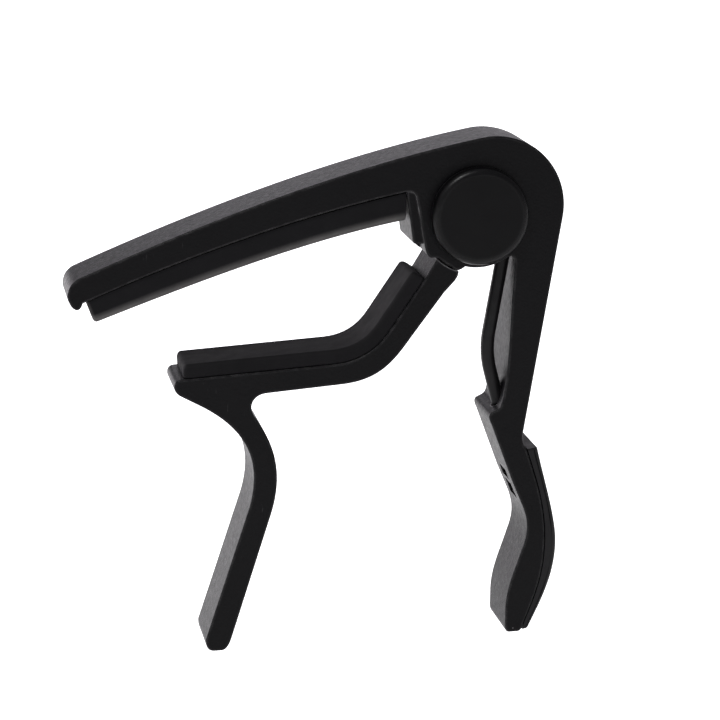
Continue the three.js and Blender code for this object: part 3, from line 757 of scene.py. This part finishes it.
class Shader:
    """A procedural material around one Principled BSDF, in object coordinates."""

    def __init__(self, name):
        self.material = bpy.data.materials.new(name)
        self.material.use_nodes = True
        self.nodes = self.material.node_tree.nodes
        self.links = self.material.node_tree.links
        self.bsdf = self.nodes["Principled BSDF"]
        self.place = self.nodes.new("ShaderNodeTexCoord").outputs["Object"]

    def set(self, **values):
        for key, value in values.items():
            self.bsdf.inputs[key.replace("_", " ")].default_value = value

    def link(self, output, name):
        self.links.new(output, self.bsdf.inputs[name])

    def node(self, kind, inputs=None, **settings):
        node = self.nodes.new(kind)
        for key, value in settings.items():
            setattr(node, key, value)
        for key, value in (inputs or {}).items():
            if isinstance(value, bpy.types.NodeSocket):
                self.links.new(value, node.inputs[key])
            else:
                node.inputs[key].default_value = value
        return node

    def stretched(self, scale, turn=(0, 0, 0)):
        node = self.node("ShaderNodeMapping", {"Vector": self.place, "Scale": scale, "Rotation": turn})
        return node.outputs["Vector"]

    def noise(self, scale, detail=2.0, roughness=0.5, place=None):
        inputs = {"Vector": place or self.place, "Scale": scale, "Detail": detail, "Roughness": roughness}
        return self.node("ShaderNodeTexNoise", inputs).outputs["Fac"]

    def fit(self, value, low, high, to_low=0.0, to_high=1.0):
        inputs = {0: value, 1: low, 2: high, 3: to_low, 4: to_high}
        return self.node("ShaderNodeMapRange", inputs, clamp=True).outputs[0]

    def maths(self, operation, a, b):
        return self.node("ShaderNodeMath", {0: a, 1: b}, operation=operation).outputs[0]

    def mix(self, factor, a, b):
        node = self.node("ShaderNodeMix", data_type="RGBA")
        for socket, value in ((node.inputs[0], factor), (node.inputs[6], a), (node.inputs[7], b)):
            if isinstance(value, bpy.types.NodeSocket):
                self.links.new(value, socket)
            else:
                socket.default_value = value
        return node.outputs[2]

    def bump(self, height, distance, strength=1.0, normal=None):
        inputs = {"Height": height, "Distance": distance, "Strength": strength}
        if normal is not None:
            inputs["Normal"] = normal
        return self.node("ShaderNodeBump", inputs).outputs["Normal"]

    def edges(self, radius):
        """From 0 on flat faces to 1 on edges within radius, in metres."""
        bevel = self.node("ShaderNodeBevel", {"Radius": radius}, samples=6)
        true = self.node("ShaderNodeNewGeometry").outputs["Normal"]
        same = self.node("ShaderNodeVectorMath", {0: bevel.outputs[0], 1: true}, operation="DOT_PRODUCT")
        return self.fit(same.outputs["Value"], 0.995, 0.9)

    def specks(self, scale, size, seed):
        """Small scattered dots."""
        place = self.stretched((1, 1, 1), (seed, seed, 0))
        node = self.node("ShaderNodeTexVoronoi", {"Vector": place, "Scale": scale})
        return self.fit(node.outputs["Distance"], size, size * 0.6)


def powder_coat():
    s = Shader("powder_coat_black")
    rims = s.edges(0.00045)
    s.link(s.fit(rims, 0, 1, 0.07, 0.32), "Specular IOR Level")
    coat = s.mix(s.noise(60, 3), (0.0009, 0.0009, 0.0011, 1), (0.0022, 0.0021, 0.0025, 1))
    # Edges lightened in colour: partly real edge wear, partly a painted highlight along the rounded edges.
    edge_wear_and_highlight = s.maths("MULTIPLY", rims, s.fit(s.noise(500, 4, 0.65), 0.38, 0.6))
    chips = s.maths("MULTIPLY", s.specks(160, 0.03, 0.4), s.fit(s.noise(35, 1), 0.55, 0.65))
    streaks = s.noise(2600, 2, place=s.stretched((1, 1, 0.12), (0, 0.9, 0)))
    scratches = s.maths("MULTIPLY", s.fit(streaks, 0.7, 0.78, 0, 0.5), s.fit(s.noise(70, 1), 0.62, 0.7))
    marks_and_edge_highlight = s.maths("MAXIMUM", edge_wear_and_highlight, s.maths("MAXIMUM", chips, scratches))
    # The pale mix colour carries the chips, scratches, edge wear and painted edge highlight.
    s.link(s.mix(s.maths("MULTIPLY", marks_and_edge_highlight, 0.6), coat, (0.13, 0.127, 0.13, 1)), "Base Color")
    grain = s.noise(2600, 3, 0.6)
    s.link(s.fit(s.noise(1200, 3), 0.3, 0.7, 0.34, 0.46), "Roughness")
    wave = s.bump(s.noise(700, 2), 0.00002)
    s.link(s.bump(grain, 0.00008, 0.8, wave), "Normal")
    return s.material


def pad_rubber(name, up, painted_light_share):
    """Black rubber, with painted light: paler by a given share on the side that faces up (1) or down (-1),
    as if lit from that side.
    """
    s = Shader(name)
    s.set(Specular_IOR_Level=0.06)
    base_rubber = s.mix(s.noise(90, 4), (0.0035, 0.0035, 0.0038, 1), (0.0066, 0.0064, 0.007, 1))
    normal = s.node("ShaderNodeNewGeometry").outputs["Normal"]
    facing = s.node("ShaderNodeSeparateXYZ", {0: normal}).outputs["Z"]
    side = s.fit(facing, 0.02 * up, 0.5 * up)
    # Painted light: the side picked by up is made paler in colour, as light falling on it would show it.
    painted_side_light = s.maths("MULTIPLY", side, s.fit(s.noise(240, 3), 0.2, 0.7, 0.5 * painted_light_share, painted_light_share))
    s.link(s.mix(painted_side_light, base_rubber, (0.07, 0.068, 0.066, 1)), "Base Color")
    s.link(s.fit(s.noise(420, 4), 0.3, 0.7, 0.78, 0.9), "Roughness")
    wave = s.bump(s.noise(160, 2), 0.00006)
    s.link(s.bump(s.noise(3800, 3, 0.6), 0.00003, 0.5, wave), "Normal")
    return s.material


def grip_rubber():
    s = Shader("grip_rubber_black")
    s.set(Specular_IOR_Level=0.12)
    s.link(s.mix(s.noise(70, 4), (0.003, 0.003, 0.0033, 1), (0.0055, 0.0053, 0.0058, 1)), "Base Color")
    s.link(s.fit(s.noise(350, 4), 0.3, 0.7, 0.46, 0.6), "Roughness")
    wave = s.bump(s.noise(120, 2), 0.0001)
    s.link(s.bump(s.noise(3200, 3, 0.6), 0.00003, 0.5, wave), "Normal")
    return s.material


def cap_plastic():
    s = Shader("cap_plastic_black")
    rim = s.edges(0.0013)
    s.link(s.fit(rim, 0, 1, 0.07, 0.85), "Specular IOR Level")
    plain = s.mix(s.noise(50, 3), (0.001, 0.001, 0.0011, 1), (0.0022, 0.0021, 0.0024, 1))
    # Painted highlight: a lighter ring of colour along the cap's rounded rim.
    painted_rim_highlight = s.maths("MULTIPLY", rim, s.fit(s.noise(180, 3), 0.3, 0.7, 0.02, 0.2))
    s.link(s.mix(painted_rim_highlight, plain, (0.07, 0.068, 0.072, 1)), "Base Color")
    s.link(s.fit(s.noise(260, 5, 0.6), 0.3, 0.7, 0.3, 0.4), "Roughness")
    wave = s.bump(s.noise(90, 2), 0.00006)
    s.link(s.bump(s.noise(2600, 3, 0.6), 0.000015, 0.5, wave), "Normal")
    return s.material


def spring_steel():
    s = Shader("spring_steel_black")
    s.set(Metallic=0.2, Specular_IOR_Level=0.1)
    s.link(s.mix(s.noise(500, 4), (0.004, 0.004, 0.0043, 1), (0.009, 0.0087, 0.009, 1)), "Base Color")
    s.link(s.fit(s.noise(900, 3), 0.3, 0.7, 0.32, 0.48), "Roughness")
    s.link(s.bump(s.noise(1500, 3, place=s.stretched((4, 4, 0.4))), 0.00002, 0.5), "Normal")
    return s.material


def zinc_steel():
    s = Shader("zinc_steel_bright")
    s.set(Metallic=1.0)
    s.link(s.mix(s.noise(300, 4), (0.45, 0.46, 0.48, 1), (0.62, 0.63, 0.65, 1)), "Base Color")
    s.link(s.fit(s.noise(700, 3), 0.3, 0.7, 0.28, 0.42), "Roughness")
    s.link(s.bump(s.noise(2500, 2), 0.00001, 0.5), "Normal")
    return s.material


def bearing_plastic():
    s = Shader("bearing_nylon")
    s.set(Subsurface_Weight=0.1, Subsurface_Scale=0.0005)
    s.link(s.mix(s.noise(200, 3), (0.66, 0.64, 0.56, 1), (0.74, 0.72, 0.64, 1)), "Base Color")
    s.link(s.fit(s.noise(600, 3), 0.3, 0.7, 0.4, 0.52), "Roughness")
    s.link(s.bump(s.noise(2000, 2), 0.00002, 0.5), "Normal")
    return s.material


def floor_paper():
    s = Shader("floor_paper")
    s.link(s.mix(s.noise(8, 3), (0.8, 0.8, 0.8, 1), (0.83, 0.83, 0.83, 1)), "Base Color")
    s.set(Roughness=0.9, Specular_IOR_Level=0.1)
    s.set(Emission_Color=(1, 1, 1, 1), Emission_Strength=0.95)
    return s.material


# ---- assembly ---------------------------------------------------------------------------------------

COAT = powder_coat()
CAP_PLASTIC = cap_plastic()
ZINC = zinc_steel()


def add(piece, body, node, material):
    """Puts a detailed piece in the place of its node, riding on a body if one is given."""
    piece.data.materials.clear()
    piece.data.materials.append(material)
    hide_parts(node)
    if body:
        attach(piece, body)
    return piece


add(frame_casting(), "frame", "frame_casting", COAT)
add(jaw_casting(), "jaw", "jaw_lever_casting", COAT)
add(handle_grip(), "frame", "handle_grip", grip_rubber())
for name, side in (("front_cap", -1), ("rear_cap", 1)):
    add(hub_cap(name + "_cover", side), "frame", name, CAP_PLASTIC)

# The pads' last argument is the share of painted light: strong on the string pad's underside, faint on the
# cradle pad's top.
upper = add(string_pad(), "frame", "string_pad", pad_rubber("string_pad_rubber", -1, 0.9))
lower = add(cradle_pad(), "jaw", "cradle_pad", pad_rubber("cradle_pad_rubber", 1, 0.03))

spring = add(torsion_spring(), None, "torsion_spring", spring_steel())
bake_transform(spring)

for node, material in (
    ("pivot_pin", ZINC),
    ("front_washer", ZINC),
    ("rear_washer", ZINC),
    ("pivot_bush", bearing_plastic()),
):
    frame["nodes"][node].data.materials.clear()
    frame["nodes"][node].data.materials.append(material)

# ---- stage, in metres ----------------------------------------------------------------------------------

FLOOR_R = 12.0
VIEW_AZIMUTH = math.radians(-10.675)
VIEW_ELEVATION = math.radians(14.131)
VIEW_DISTANCE = 0.455092
VIEW_CENTRE = PIVOT + Vector((-20.634, -0.5, -27.324)) * MM
SENSOR_MM = 36
LENS_MM = 124.24


def area_light(name, place, target, size, energy, colour=(1, 1, 1)):
    """A rectangular soft light that faces a target."""
    lamp = bpy.data.lights.new(name, "AREA")
    lamp.shape = "RECTANGLE"
    lamp.size, lamp.size_y = size
    lamp.energy = energy
    lamp.color = colour
    holder = bpy.data.objects.new(name, lamp)
    holder.location = place
    holder.rotation_mode = "QUATERNION"
    holder.rotation_quaternion = (Vector(target) - Vector(place)).to_track_quat("-Z", "Y")
    bpy.context.scene.collection.objects.link(holder)


def floor():
    """A pale floor, low enough for the lever's foot when the jaw is opened."""
    bm = bmesh.new()
    bmesh.ops.create_circle(bm, cap_ends=True, segments=96, radius=FLOOR_R)
    mesh = bpy.data.meshes.new("floor")
    bm.to_mesh(mesh)
    bm.free()
    plane = bpy.data.objects.new("floor", mesh)
    plane.location.z = cad_box[0].z - LEVER_SWEEP * MM
    plane.data.materials.append(floor_paper())
    bpy.context.scene.collection.objects.link(plane)


def camera():
    level = Vector((math.sin(VIEW_AZIMUTH), -math.cos(VIEW_AZIMUTH), 0))
    back = level * math.cos(VIEW_ELEVATION) + Vector((0, 0, math.sin(VIEW_ELEVATION)))
    data = bpy.data.cameras.new("camera")
    data.sensor_width = SENSOR_MM
    data.lens = LENS_MM
    data.clip_start = 0.01
    holder = bpy.data.objects.new("camera", data)
    holder.location = VIEW_CENTRE + back * VIEW_DISTANCE
    holder.rotation_mode = "QUATERNION"
    holder.rotation_quaternion = (-back).to_track_quat("-Z", "Y")
    bpy.context.scene.collection.objects.link(holder)
    bpy.context.scene.camera = holder


def world():
    """An even, pale surround."""
    surround = bpy.data.worlds.new("surround")
    bpy.context.scene.world = surround
    surround.use_nodes = True
    background = surround.node_tree.nodes["Background"]
    background.inputs["Color"].default_value = (0.96, 0.93, 1, 1)
    background.inputs["Strength"].default_value = 0.45


floor()
camera()
world()
centre = (cad_box[0] + cad_box[1]) / 2
area_light("key", centre + Vector((-0.8, 0.6, 0.22)), centre, (0.8, 0.45), 12, (1, 0.94, 1))
area_light("back", centre + Vector((0.25, 1.1, 0.42)), centre, (0.9, 0.4), 1.6, (0.98, 0.94, 1))
area_light("rim", centre + Vector((-0.3, -0.45, 0.85)), centre, (0.2, 0.2), 7)
bpy.context.scene.view_settings.view_transform = "Standard"
